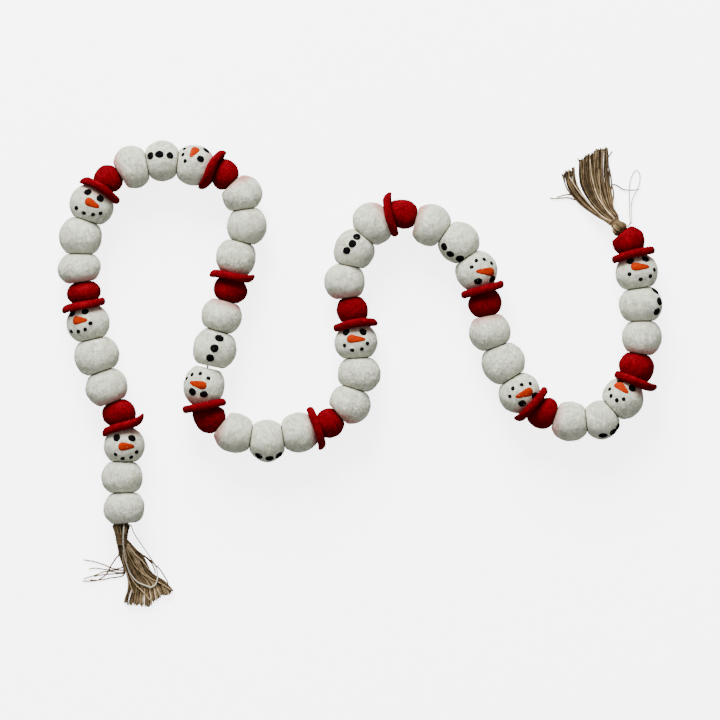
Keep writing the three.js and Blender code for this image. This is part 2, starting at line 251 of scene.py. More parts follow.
def laidFibres(g, place, scale, look):
    # fine fibres that lie every way
    laid = None
    for turn in look["turns"]:
        values = {"Vector": place, "Rotation": turn, "Scale": (1, look["stretch"], 1)}
        wave = g.noise(g.add("ShaderNodeMapping", values), scale * look["scale"], 1.0)
        fibre = g.clamp(1 - abs(wave - look["middle"]) * look["sharpness"])
        laid = g.maths("MAXIMUM", laid, fibre) if laid else fibre
    return laid


# matted wool: cloudy patches, specks, and light and dark fibres, with a painted red reflection from
# the hats and painted shade in the creases
def feltMaterial(name, look):
    material, g = newMaterial(name)
    place = g.objectPlace()
    warp = g.scaled(g.noise(place, felt["warpScale"]).other("Color"), felt["warpReach"])
    bent = g.vector("ADD", place, warp)
    mottle = g.smooth(g.noise(bent, look["mottle"], 5.0, 0.65), *felt["patchFade"])
    cloud = g.smooth(g.noise(place, felt["cloudScale"]), *felt["patchFade"])
    fibres = laidFibres(g, bent, look["fibreScale"], lightFibres)
    darker = laidFibres(g, bent, look["fibreScale"], darkFibres)
    darker = darker * g.smooth(g.noise(place, felt["thickScale"], 1.0), *felt["thickFade"])
    specks = g.smooth(g.noise(bent, felt["speckScale"]), *felt["speckFade"])
    tone = g.clamp(mottle * (1 - felt["cloudShare"]) + cloud * felt["cloudShare"])
    # painted red reflection from a nearby hat, broken up by the mottle
    paintedRedReflection = g.marked("paintedRedReflection") * (mottle * (1 - felt["paintedRedReflectionLeast"]) + felt["paintedRedReflectionLeast"])
    wool = look["dark"]
    for layer, share in (
        ("light", tone), ("fibre", fibres * look["fibreShare"]),
        ("speck", g.clamp(specks * felt["speckShare"] + darker * (1 - felt["speckShare"]))),
        # painted red reflection from the hats, then painted shade in the creases between balls
        ("paintedRedReflection", g.clamp(paintedRedReflection)), ("paintedCreaseShade", g.clamp(g.marked("paintedCreaseShade"))),
    ):
        wool = g.mixColours(wool, look[layer], share)
    height = mottle * felt["raised"][0] + fibres * felt["raised"][1]
    height = height - specks * felt["sunk"][0] - darker * felt["sunk"][1]
    finishMaterial(g, wool, height, {**felt, **look})
    return material


def juteMaterial(name, look):
    material, g = newMaterial(name)
    along = g.add("ShaderNodeUVMap", uv_map="UVMap")
    stretched = g.add("ShaderNodeMapping", {"Vector": along, "Scale": look["stretch"]})
    streak = g.noise(stretched, 1.0, 3.0, 0.6)
    patch = g.noise(g.objectPlace(), look["patchScale"], 3.0, 0.6)
    tone = g.marked("tone") + (streak - 0.5) * look["streakShare"]
    tone = tone + (patch - 0.5) * look["patchShare"]
    base = g.add("ShaderNodeValToRGB", {"Fac": g.clamp(tone)})
    ramp = base.socket.node.color_ramp.elements
    while len(ramp) < len(look["stops"]):
        ramp.new(0.5)
    for stop, (place, shade) in zip(ramp, look["stops"]):
        stop.position = place
        stop.color = colour(*shade)
    finishMaterial(g, base, streak, look)
    return material


def cottonMaterial(name, look):
    material, g = newMaterial(name)
    parts = g.add("ShaderNodeSeparateXYZ", {0: g.add("ShaderNodeUVMap", uv_map="UVMap")})
    # stripes along the twist are painted darker as shade between the plies, and the fuzz differs at
    # random
    turns = parts * look["twist"] + parts.other("Y") * look["plies"]
    lay = abs(g.maths("FRACT", turns) - 0.5) * 2
    fuzz = g.noise(g.objectPlace(), look["fuzzScale"], 3.0, 0.6)
    tone = g.clamp(lay * look["plyShare"] + fuzz * look["fuzzShare"])
    base = g.mixColours(look["dark"], look["light"], tone)
    finishMaterial(g, base, tone, look)
    return material


materials = {
    "white_felt": feltMaterial("whiteWool", whiteWool),
    "red_felt": feltMaterial("redWool", redWool),
    "black_felt": feltMaterial("blackWool", blackWool),
    "orange_felt": feltMaterial("orangeWool", orangeWool),
    "jute": juteMaterial("jute", juteLook),
    "cotton_cord": cottonMaterial("cotton", cottonLook),
}
print("materials made")


# curves and meshes

def within(value, low, high):
    return min(max(value, low), high)


def fade(value, low, high):
    share = within((value - low) / (high - low), 0, 1)
    return share * share * (3 - 2 * share)


def unit(vector):
    return vector / np.linalg.norm(vector)


def spoke(side, up, angle):
    return side * cos(angle) + up * sin(angle)


def smoothRoute(points, steps):
    # a smooth line through all the points, the same as the solids follow
    given = np.array(points, float)
    padded = np.vstack([2 * given[0] - given[1], given, 2 * given[-1] - given[-2]])
    gaps = np.maximum(np.linalg.norm(np.diff(padded, axis=0), axis=1) ** 0.5, 1e-4)
    made = []
    for place in np.linspace(0, len(given) - 1, steps + 1):
        first = min(int(place), len(given) - 2)
        t = place - first
        a, b, c, d = padded[first:first + 4]
        u, v, w = gaps[first:first + 3]
        leave = ((b - a) / u - (c - a) / (u + v) + (c - b) / v) * v
        arrive = ((c - b) / v - (d - b) / (v + w) + (d - c) / w) * v
        made.append(
            (2 * t**3 - 3 * t**2 + 1) * b + (t**3 - 2 * t**2 + t) * leave
            + (3 * t**2 - 2 * t**3) * c + (t**3 - t**2) * arrive
        )
    return np.array(made)


def distancesAlong(line):
    return np.concatenate([[0], np.cumsum(np.linalg.norm(np.diff(line, axis=0), axis=1))])


def spacedOut(line, gap):
    distances = distancesAlong(line)
    places = np.linspace(0, distances[-1], int(distances[-1] / gap))
    return np.column_stack([np.interp(places, distances, line[:, axis]) for axis in range(3)])


def carriedFrames(line):
    # directions across a line that turn with it and do not spin
    ahead = np.gradient(line, axis=0)
    ahead /= np.linalg.norm(ahead, axis=1)[:, None]
    side = unit(np.cross(ahead[0], (0.31, 0.17, 0.93)))
    sides = []
    for direction in ahead:
        side = unit(side - direction * side.dot(direction))
        sides.append(side)
    return sides, np.cross(ahead, sides)


def gridFaces(rings, sides, capped=False):
    faces = []
    for ring in range(rings - 1):
        for side in range(sides):
            following = (side + 1) % sides
            low, high = ring * sides, (ring + 1) * sides
            faces.append((low + side, low + following, high + following, high + side))
    if capped:
        faces.append(tuple(reversed(range(sides))))
        faces.append(tuple(range((rings - 1) * sides, rings * sides)))
    return faces


def giveValues(mesh, values, kind="FLOAT", field="value"):
    for name, numbers in values.items():
        made = mesh.attributes.new(name, kind, "POINT")
        made.data.foreach_set(field, np.asarray(numbers, np.float32).ravel())


def newPiece(name, points, faces, slotName=None, values=None, edges=()):
    mesh = bpy.data.meshes.new(name)
    mesh.from_pydata([tuple(p) for p in np.asarray(points) * mm], edges, faces)
    mesh.update()
    giveValues(mesh, values or {})
    if slotName:
        mesh.materials.append(materials[slotName])
    mesh.shade_smooth()
    return newObject(name, mesh)


def turnedRight(piece):
    # faces that would point inwards are turned round
    shape = bmesh.new()
    shape.from_mesh(piece.data)
    bmesh.ops.recalc_face_normals(shape, faces=shape.faces)
    shape.to_mesh(piece.data)
    shape.free()
    return piece


def settle(piece, slotName, *nodes):
    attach(piece, "root")
    if nodes:
        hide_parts(*nodes)


# a round cord with plies that show as low lobes, and its own lengthwise map
def cottonCord(name, line, look, node):
    sides, lobes, depth = look["sides"], look["lobes"], look["depth"]
    distances = distancesAlong(line)
    points = []
    for centre, across, up, distance in zip(line, *carriedFrames(line), distances):
        for side in range(sides):
            angle = 2 * pi * side / sides
            lobe = abs(cos((angle * lobes) / 2 - pi * distance * look["turnsPerMm"] * lobes))
            reach = look["diameter"] / 2 * (1 - depth + depth * lobe)
            points.append(centre + reach * spoke(across, up, angle))
    cord = newPiece(name, points, gridFaces(len(line), sides, True), "cotton_cord")
    layer = cord.data.uv_layers.new(name="UVMap")
    for face in cord.data.polygons:
        for corner, vertex in zip(face.loop_indices, face.vertices):
            layer.data[corner].uv = (distances[vertex // sides] * mm, (vertex % sides) / sides)
    settle(cord, "cotton_cord", node)
    return cord


# hanging loops

loops = {
    "diameter": 1.3, "sides": 12, "ringGap": 0.5, "lobes": 3, "turnsPerMm": 0.22, "depth": 0.16,
    "steps": 400,
}
firstLoop = [
    (-239.6, -149.5, 22.2), (-239.6, -149.5, 28.4), (-239.8, -151.6, 31.4), (-240.2, -158, 30.6),
    (-240.4, -166, 27), (-240, -175, 22.5), (-239, -184, 16.8), (-236, -194, 11),
    (-232.8, -200.7, 8), (-226.6, -207.7, 6.6), (-219.6, -211, 6), (-212.5, -213.2, 6),
    (-208.4, -211, 6), (-206.3, -206, 6.5), (-206, -199.5, 5.6), (-207.6, -192.5, 4.6),
    (-214.6, -181, 8), (-222, -170, 13), (-228.6, -160, 18.5), (-231.2, -154, 24.2),
    (-232.8, -150, 26.2), (-235.4, -149.5, 24.8), (-237.4, -149.5, 22.4),
]
lastLoop = [
    (270.3, 152.6, 22.2), (272.6, 154.5, 22.3), (274.2, 157.2, 20.9), (274.4, 161, 16.5),
    (274, 166.5, 9), (274.1, 172, 3.2), (274.2, 178, 2.2), (273.9, 185, 2.2), (273.9, 191, 2.3),
    (274.4, 196.5, 2), (275.8, 202.5, 1.3), (278.2, 208, 0.9), (281.6, 210.8, 0.9),
    (284.4, 207.5, 0.9), (284.9, 201.5, 1.3), (283.4, 194.5, 2.2), (280.4, 188.3, 2.3),
    (277.5, 182.2, 2.2), (276.1, 176.5, 2.2), (275.8, 171, 3.2), (276, 166, 7.6), (276.2, 161, 13),
    (275.8, 157.6, 17.4), (274.3, 155.7, 19.2), (272.3, 154.2, 19.7), (270.3, 152.6, 20),
]


def hangingLoop(name, route, node):
    line = smoothRoute(np.array(route) - layoutMiddle, loops["steps"])
    line = spacedOut(line, loops["ringGap"])
    cottonCord(name, line, loops, node)


hangingLoop("firstHangingLoop", firstLoop, "loop_first")
hangingLoop("lastHangingLoop", lastLoop, "loop_last")


# the beads' places, read from the solids

cord = {"height": 20.8, "joint": 4, "bore": 2.2}
pressedGap = 0.3  # left between the solids, and closed between the felt pieces
ballKinds = ("bottom", "middle", "head", "hat")


def nodePoints(name):
    mesh = frame["nodes"][name].data
    flat = np.zeros(len(mesh.vertices) * 3)
    mesh.vertices.foreach_get("co", flat)
    return flat.reshape(-1, 3) / mm


def cordJoints():
    left = nodePoints("threading_cord")
    found = []
    while len(left):
        near = np.linalg.norm(left[:, :2] - left[0, :2], axis=1) < cord["joint"]
        found.append(left[near].mean(axis=0))
        left = left[~near]
    here = nodePoints("tassel_first").mean(axis=0)
    ordered = []
    while found:
        nearest = min(range(len(found)), key=lambda i: np.linalg.norm(found[i] - here))
        here = found.pop(nearest)
        ordered.append(here)
    return ordered


joints = cordJoints()


def readBead(index):
    node = f"snowman_{index // 4 + 1:02d}_{ballKinds[index % 4]}"
    start, end = joints[index], joints[index + 1]
    forward = unit(end - start)
    across = np.array((forward[1], -forward[0], 0.0))
    middle = (start + end) / 2
    middle[2] = cord["height"]
    away = nodePoints(node) - middle
    local = np.column_stack([away @ across, away @ forward, away[:, 2]])
    bore = local[np.hypot(local[:, 0], local[:, 2]) < cord["bore"]]
    leans, ends = [], []
    for side in (-1, 1):
        rim = bore[bore[:, 1] * side > 0]
        lean, end = np.polyfit(rim[:, 0], rim[:, 1], 1)
        leans.append(lean)
        ends.append(end + side * pressedGap / 2)
    return {
        "node": node, "index": index, "owner": f"snowman{index // 4 + 1:02d}",
        "middle": middle, "across": across, "forward": forward, "local": local,
        "ends": ends, "leans": leans, "centre": (ends[0] + ends[1]) / 2,
        "half": (ends[1] - ends[0]) / 2, "halfWidth": float(np.abs(local[:, 0]).max()),
    }


beads = [readBead(index) for index in range(len(joints) - 1)]
print(f"{len(beads)} beads read from the solids")


def toWorld(bead, across, along, up):
    flat = bead["middle"] + bead["across"] * across + bead["forward"] * along
    return np.array((flat[0], flat[1], flat[2] + up))


def planeAt(bead, end, across):
    # where the leaning plane at a bead's end lies, to one side of the cord
    return bead["ends"][end] + bead["leans"][end] * across


def keptClear(distance, rounding):
    # holds a distance from a plane above zero, with a rounded edge
    if distance >= rounding:
        return distance
    return (distance + rounding) ** 2 / (4 * rounding) if distance > -rounding else 0.0


# Geometry Nodes: loose fibres on felt, tubes along strands, needle-felted dots

class GeometryGraph(Graph):
    def __init__(self, name, inputs):
        super().__init__(bpy.data.node_groups.new(name, "GeometryNodeTree"))
        inputs = [("Geometry", "Geometry"), *inputs, ("Material", "Material")]
        sockets = [("INPUT", *given) for given in inputs] + [("OUTPUT", "Geometry", "Geometry")]
        for way, label, kind in sockets:
            self.tree.interface.new_socket(name=label, in_out=way, socket_type="NodeSocket" + kind)
        self.given = self.add("NodeGroupInput", output="Geometry")

    def named(self, name, kind="FLOAT"):
        return self.add("GeometryNodeInputNamedAttribute", {"Name": name}, data_type=kind)

    def store(self, geometry, name, value, kind="FLOAT", domain="POINT"):
        values = {"Geometry": geometry, "Name": name, "Value": value}
        return self.add("GeometryNodeStoreNamedAttribute", values, data_type=kind, domain=domain)

    def ring(self, corners, radius):
        values = {"Resolution": corners, "Radius": radius}
        return self.add("GeometryNodeCurvePrimitiveCircle", values)

    def tube(self, curve, ring, **more):
        values = {"Curve": curve, "Profile Curve": ring, "Fill Caps": True, **more}
        return self.add("GeometryNodeCurveToMesh", values)

    def placed(self, points, instance, rotation, scale):
        return self.add("GeometryNodeInstanceOnPoints", {
            "Points": points, "Instance": instance, "Rotation": rotation, "Scale": scale,
        })

    def real(self, geometry):
        return self.add("GeometryNodeRealizeInstances", {0: geometry})

    def finish(self, geometry):
        done = {"Geometry": geometry, "Material": self.given.other("Material")}
        self.add("NodeGroupOutput", {0: self.add("GeometryNodeSetMaterial", done)})
        return self.tree


def grown(name, source, tree, values):
    # runs a tree on a piece, and leaves a plain mesh in its place
    modifier = source.modifiers.new("grow", "NODES")
    modifier.node_group = tree
    for item in tree.interface.items_tree:
        if item.in_out == "INPUT" and item.name in values:
            modifier[item.identifier] = values[item.name]
    depsgraph = bpy.context.evaluated_depsgraph_get()
    mesh = bpy.data.meshes.new_from_object(
        source.evaluated_get(depsgraph), preserve_all_data_layers=True, depsgraph=depsgraph
    )
    source.modifiers.remove(modifier)
    bpy.data.objects.remove(source)
    mesh.name = name
    return newObject(name, mesh)


fibres = {
    "white_felt": 52000.0, "red_felt": 26000.0,  # to the square metre
    "length": 3.2, "width": 0.075, "root": 0.15,
    "middle": {"X": 0.45, "Z": 0.34}, "end": {"X": 1.0, "Y": 0.25, "Z": 0.1},
    "spins": ((-0.25, -0.25, -3.1416), (0.25, 0.25, 3.1416)),
    "sizes": ((0.5, -1.4, 0.3), (1.25, 1.4, 1.5)),
}


def looseFibreTree():
    g = GeometryGraph("looseFibres", [
        ("Density", "Float"), ("Length", "Float"), ("Width", "Float"), ("Seed", "Int"),
    ])
    given, seed, length = g.given, g.given.other("Seed"), g.given.other("Length")
    scattered = g.add("GeometryNodeDistributePointsOnFaces", {
        "Mesh": given, "Density": given.other("Density") * g.named("loose"), "Seed": seed,
    })
    bend = g.add("GeometryNodeCurveQuadraticBezier", {
        "Resolution": 3,
        "Start": g.add("ShaderNodeCombineXYZ", {"Z": -fibres["root"] * mm}),
        "Middle": g.add("ShaderNodeCombineXYZ", {
            key: length * share for key, share in fibres["middle"].items()
        }),
        "End": g.add("ShaderNodeCombineXYZ", {
            key: length * share for key, share in fibres["end"].items()
        }),
    })
    fibre = g.tube(bend, g.ring(3, given.other("Width") * 0.5))
    spin, size = (
        g.add("FunctionNodeRandomValue", {
            0: fibres[key][0], 1: fibres[key][1], "Seed": seed + more,
        }, data_type="FLOAT_VECTOR")
        for key, more in (("spins", 0), ("sizes", 7))
    )
    turned = g.add("FunctionNodeRotateRotation", {
        0: scattered.other("Rotation"), 1: g.add("FunctionNodeEulerToRotation", {0: spin}),
    }, rotation_space="LOCAL")
    fur = g.placed(scattered, fibre, turned, size)
    return g.finish(g.real(g.add("GeometryNodeJoinGeometry", {0: [fur, given]})))


def strandTree():
    g = GeometryGraph("strands", [("Sides", "Int")])
    lines = g.add("GeometryNodeMeshToCurve", {"Mesh": g.given})
    spline = g.add("GeometryNodeSplineParameter", output="Factor")
    marked = g.store(lines, "alongStrand", spline.other("Length"))
    ring = g.store(g.ring(g.given.other("Sides"), 1.0), "roundStrand", spline)
    tubes = g.tube(marked, ring, Scale=g.named("thick"))
    flat = {"X": g.named("alongStrand"), "Y": g.named("roundStrand")}
    flat = g.add("ShaderNodeCombineXYZ", flat)
    return g.finish(g.real(g.store(tubes, "UVMap", flat, "FLOAT2", "CORNER")))


def dotTree():
    g = GeometryGraph("feltedDots", [("Unevenness", "Float")])
    dome = g.add("GeometryNodeMeshUVSphere", {"Segments": 16, "Rings": 8, "Radius": 1.0})
    outward = {"Vector": g.named("outward", "FLOAT_VECTOR")}
    upright = g.add("FunctionNodeAlignRotationToVector", outward, axis="Z")
    real = g.real(g.placed(g.given, dome, upright, g.named("dotSize", "FLOAT_VECTOR")))
    where = {"Vector": g.add("GeometryNodeInputPosition"), "Scale": 420.0, "Detail": 1.0}
    wobble = g.vector("SUBTRACT", g.add("ShaderNodeTexNoise", where, "Color"), (0.5, 0.5, 0.5))
    pushed = {"Geometry": real, "Offset": g.scaled(wobble, g.given.other("Unevenness"))}
    uneven = g.add("GeometryNodeSetPosition", pushed)
    return g.finish(g.add("GeometryNodeSetShadeSmooth", {"Geometry": uneven}))


looseFibres = looseFibreTree()
strands = strandTree()
feltedDots = dotTree()


def settleWithFibres(name, piece, slotName, bead, *nodes):
    piece = grown(name, piece, looseFibres, {
        "Density": fibres[slotName], "Length": fibres["length"] * mm,
        "Width": fibres["width"] * mm, "Seed": bead["index"], "Material": materials[slotName],
    })
    settle(piece, slotName, *nodes)


# felt lumps round the cord

# how far each one sits to one side of its cord, in mm, and its share of the solid's width: the
# bottom, middle, head and crown of each snowman
sideFits = [
    (0.3, 1.01), (-0.6, 1.01), (1.3, 1.01), (1.8, 1.05),
    (-0.4, 1.01), (0.8, 1.03), (-0.1, 1.01), (0.4, 1.02),
    (-0.8, 1.01), (-0.5, 1.01), (0.2, 1.02), (-1.0, 0.93),
    (0.4, 1.04), (-0.3, 1.02), (1.2, 0.99), (-0.85, 1.0),
    (-1.0, 1.01), (-2.2, 1.01), (1.7, 1.01), (-1.7, 1.05),
    (0.9, 1.01), (-2.2, 1.01), (1.0, 1.02), (1.2, 0.86),
    (-1.3, 1.0), (1.7, 1.03), (-1.3, 1.01), (0.3, 0.95),
    (0.9, 1.01), (0.8, 1.02), (-0.9, 1.03), (1.9, 1.0),
    (-2.1, 1.0), (1.2, 1.0), (-1.3, 1.01), (-2.1, 0.83),
    (0.8, 1.01), (-1.3, 1.01), (0.0, 0.99), (0.0, 1.0),
    (1.0, 0.98), (-1.4, 1.01), (0.9, 1.01), (-0.1, 1.0),
    (-0.4, 1.02), (1.5, 1.01), (-0.3, 0.98), (-0.1, 1.0),
    (0.3, 1.0), (-0.3, 1.02), (0.5, 1.02), (-0.7, 0.99),
]
balls = {
    "sides": 72, "rings": 44, "bore": 1.5, "taper": 0.8, "edge": 1.7,
    "lump": 0.7, "lumpSize": 16.0, "dent": 0.36, "dentSize": 5.0, "lumpFade": 4.0,
    # how far the painted crease shade reaches from the pressed ends, and how far the painted red
    # reflection reaches from a hat
    "paintedCreaseShadeFade": (-0.6, 1.3), "paintedRedReflectionFade": (0.3, 0.8), "bareEnd": 2.0, "bareFoot": 3,
}


def lumpAt(point, seed):
    coarse = noise.noise(Vector(point / balls["lumpSize"]) + Vector((seed * 3.7, 0, 0)))
    fine = noise.noise(Vector(point / balls["dentSize"]) + Vector((0, seed * 1.9, 5)))
    return balls["lump"] * coarse + balls["dent"] * fine


def outward(swing, angle):
    # angle goes round the cord from the top, swing from one end of the cord to the other
    return cos(swing) * sin(angle), sin(swing), cos(swing) * cos(angle)


def lumpyPoint(bead, out, spot, planes, edge, lift=0.0):
    # a place on felt that two planes press flat, and how far it is from them
    (across, along, up), (low, high) = spot, planes
    clear = min(along - low, high - along)
    lump = lumpAt(toWorld(bead, across, along, up), bead["index"])
    lump = lump * fade(clear, 0.0, balls["lumpFade"]) + lift
    along = low + keptClear(along - low, edge)
    along = high - keptClear(high - along, edge)
    return toWorld(bead, across + lump * out[0], along + lump * out[1], up + lump * out[2]), clear


def ballPoint(bead, angle, swing, lift=0.0):
    out = outward(swing, angle)
    shift, share = sideFits[bead["index"]]
    across = bead["halfWidth"] * share * out[0] + shift * cos(swing)
    along = bead["centre"] + bead["half"] / balls["taper"] * out[1]
    planes = planeAt(bead, 0, across), planeAt(bead, 1, across)
    spot = (across, along, cord["height"] * out[2])
    point, clear = lumpyPoint(bead, out, spot, planes, balls["edge"], lift)
    point[2] = max(point[2], 0.0)
    return point, clear


def lathed(name, rows, sides, pointAt, values=None, slotName="red_felt"):
    # rings round a bore, with the bore's wall as the last row of faces
    points = [pointAt(row, 2 * pi * (side + 0.5) / sides) for row in rows for side in range(sides)]
    faces = gridFaces(len(rows), sides)
    last = len(points) - sides
    for side in range(sides):
        following = (side + 1) % sides
        faces.append((last + side, last + following, following, side))
    return turnedRight(newPiece(name, points, faces, slotName, values))


def swings(radius, count):
    end = acos(balls["bore"] / radius)
    return np.linspace(-end, end, count)


def feltBall(bead, name):
    # wool next to a hat gets a painted red reflection of it
    values = {"loose": [], "paintedRedReflection": [], "paintedCreaseShade": []}
    towardsHat = (-1 if bead["index"] else 0, 0, 1)[bead["index"] % 4]

    def pointAt(swing, angle):
        point, clear = ballPoint(bead, angle, swing)
        values["loose"].append(clear > balls["bareEnd"] and point[2] > balls["bareFoot"])
        # painted shade in the creases by the pressed ends, and a painted red reflection towards the
        # hat
        values["paintedCreaseShade"].append(1 - fade(clear, *balls["paintedCreaseShadeFade"]))
        values["paintedRedReflection"].append(fade(towardsHat * sin(swing), *balls["paintedRedReflectionFade"]))
        return point

    rows = swings(cord["height"], balls["rings"])
    return lathed(name + "Bare", rows, balls["sides"], pointAt, values, "white_felt")


for bead in beads:
    if bead["index"] % 4 < 3:
        label = f"{bead['owner']}{ballKinds[bead['index'] % 4].title()}Ball"
        settleWithFibres(label, feltBall(bead, label), "white_felt", bead, bead["node"])
print("felt balls made")


# hats

hats = {
    "thickness": 5.0, "sides": 96, "pressed": 12.6, "bendPower": 1.4, "edge": 2.4,
    "swell": 0.58, "rimReach": 3.3, "wider": 0.7, "inner": 7.0, "flatRings": 9,
    "roundings": (15, 30, 45, 60, 75), "fuller": 0.05,
    "wave": 0.3, "waveSize": 13.0, "sway": 0.008, "swaySize": 7.0, "crownRings": 40,
    "crownMiddle": 0.47, "crownReach": 0.65, "crownLeanEnd": 0.56, "sunk": 0.5, "crownEdge": 1.5,
}
# the solids' brims: corners, and where their rims and crowns begin and end, in mm
solidBrim = {"corners": 12, "inside": 19.4, "above": 11.5, "band": 0.6, "crown": 12, "widest": 19.2}


def readBrim(bead):
    # the brim lies square to its own leaning plane, so its points are turned back to be read
    corners, crownFrom = solidBrim["corners"], bead["ends"][0] + solidBrim["crown"]
    turn = atan(bead["leans"][0])
    wide, along, up = bead["local"].T
    rise = along - bead["ends"][0]
    flat = wide * cos(turn) + rise * sin(turn)
    rise = rise * cos(turn) - wide * sin(turn)
    outer = (np.hypot(flat, up) > solidBrim["inside"]) & (rise < solidBrim["above"])
    shift = (flat[outer].max() + flat[outer].min()) / 2
    lift = (up.max() + up.min()) / 2
    radius = np.hypot(flat - shift, up - lift)
    corner = radius[outer].max()
    rim = outer & (radius > corner - solidBrim["band"])
    across = corner * cos(pi / corners)
    overshoot = (corner - hats["pressed"]) / (across - hats["pressed"])
    places = np.degrees(np.arctan2(flat - shift, up - lift)) % 360 * corners / 360
    slots = np.round(places - 0.5).astype(int) % corners
    bends = [rise[rim & (slots == s)].mean() - hats["thickness"] / 2 for s in range(corners)]
    crown = (along > crownFrom) & (np.hypot(wide, up) < solidBrim["widest"])
    return {
        "radius": across, "lift": lift / overshoot, "shift": shift / overshoot, "turn": turn,
        "waves": np.fft.rfft(bends) / corners / overshoot ** hats["bendPower"],
        "crown": float(np.hypot(wide, up)[crown].max() * cos(pi / corners)),
    }


def brimBend(brim, angle):
    turned = angle - pi / solidBrim["corners"]
    total = brim["waves"][0].real
    for count in range(1, 5):
        turn = complex(cos(count * turned), sin(count * turned))
        total += 2 * (brim["waves"][count] * turn).real
    return total


def brimPoint(bead, brim, angle, radius, depth):
    # depth runs through the felt, from the head's side to the crown's side
    reach = max(0.0, (radius - hats["pressed"]) / (brim["radius"] - hats["pressed"]))
    middle = hats["thickness"] / 2
    depth = middle + (depth - middle) * (1 + hats["swell"] * fade(reach, 0.0, 0.5))
    wide = radius * sin(angle) + brim["shift"] * reach
    up = radius * cos(angle) + brim["lift"] * reach
    spot = toWorld(bead, wide, bead["ends"][0] + depth, up)
    wave = noise.noise(Vector(spot / hats["waveSize"]) + Vector((0, 0, bead["index"])))
    sway = noise.noise(Vector(spot / hats["swaySize"]) + Vector((bead["index"], 3, 0)))
    rise = depth + brimBend(brim, angle) * reach ** hats["bendPower"]
    rise += hats["wave"] * wave * fade(reach, 0.1, 1.0)
    spread = 1 + hats["sway"] * sway * reach
    wide, up = wide * spread, up * spread
    along = bead["ends"][0] + wide * sin(brim["turn"]) + rise * cos(brim["turn"])
    across = wide * cos(brim["turn"]) - rise * sin(brim["turn"])
    point = toWorld(bead, across, along, up)
    point[2] = max(point[2], 0.0)
    return point


def feltBrim(bead, brim, name):
    thick, edge, outer = hats["thickness"], hats["edge"], brim["radius"] + hats["wider"]
    flats = np.linspace(hats["pressed"], outer - hats["rimReach"], hats["flatRings"])
    half = [(radius, 0.0) for radius in (balls["bore"], hats["inner"], *flats)]
    for degrees in hats["roundings"]:
        inward = hats["rimReach"] * (1 - sin(radians(degrees)))
        half.append((outer - inward, edge * (1 - cos(radians(degrees)))))
    half.append((outer, edge))
    rows = half + [(outer + hats["fuller"], thick / 2)]
    rows += [(radius, thick - depth) for radius, depth in reversed(half)]
    return lathed(
        name, rows, hats["sides"], lambda row, angle: brimPoint(bead, brim, angle, *row)
    )


def feltCrown(bead, brim, name):
    loose = []
    base = bead["ends"][0] + hats["thickness"]
    length = bead["ends"][1] - base
    shift, scale = sideFits[bead["index"]]

    def pointAt(swing, angle):
        out = outward(swing, angle)
        across = brim["crown"] * scale * out[0] + shift * cos(swing)
        share = hats["crownMiddle"] + hats["crownReach"] * out[1]
        leaning = 1 - within(share / hats["crownLeanEnd"], 0, 1)
        along = base + share * length + across * bead["leans"][0] * leaning
        low = planeAt(bead, 0, across) + hats["thickness"] / cos(brim["turn"]) - hats["sunk"]
        spot = (across, along, brim["crown"] * scale * out[2])
        planes = low, planeAt(bead, 1, across)
        point, clear = lumpyPoint(bead, out, spot, planes, hats["crownEdge"])
        loose.append(clear > balls["bareEnd"])
        return point

    rows = swings(brim["crown"], hats["crownRings"])
    return lathed(name + "Bare", rows, balls["sides"], pointAt, {"loose": loose})


for bead in beads:
    if bead["index"] % 4 == 3:
        shape = readBrim(bead)
        brim = feltBrim(bead, shape, bead["owner"] + "Brim")
        settle(brim, "red_felt", bead["node"])
        side = 2 * shape["radius"] * mm
        pi * side**2 / 4
        label = bead["owner"] + "Crown"
        settleWithFibres(label, feltCrown(bead, shape, label), "red_felt", bead)
print("hats made")


# faces and buttons

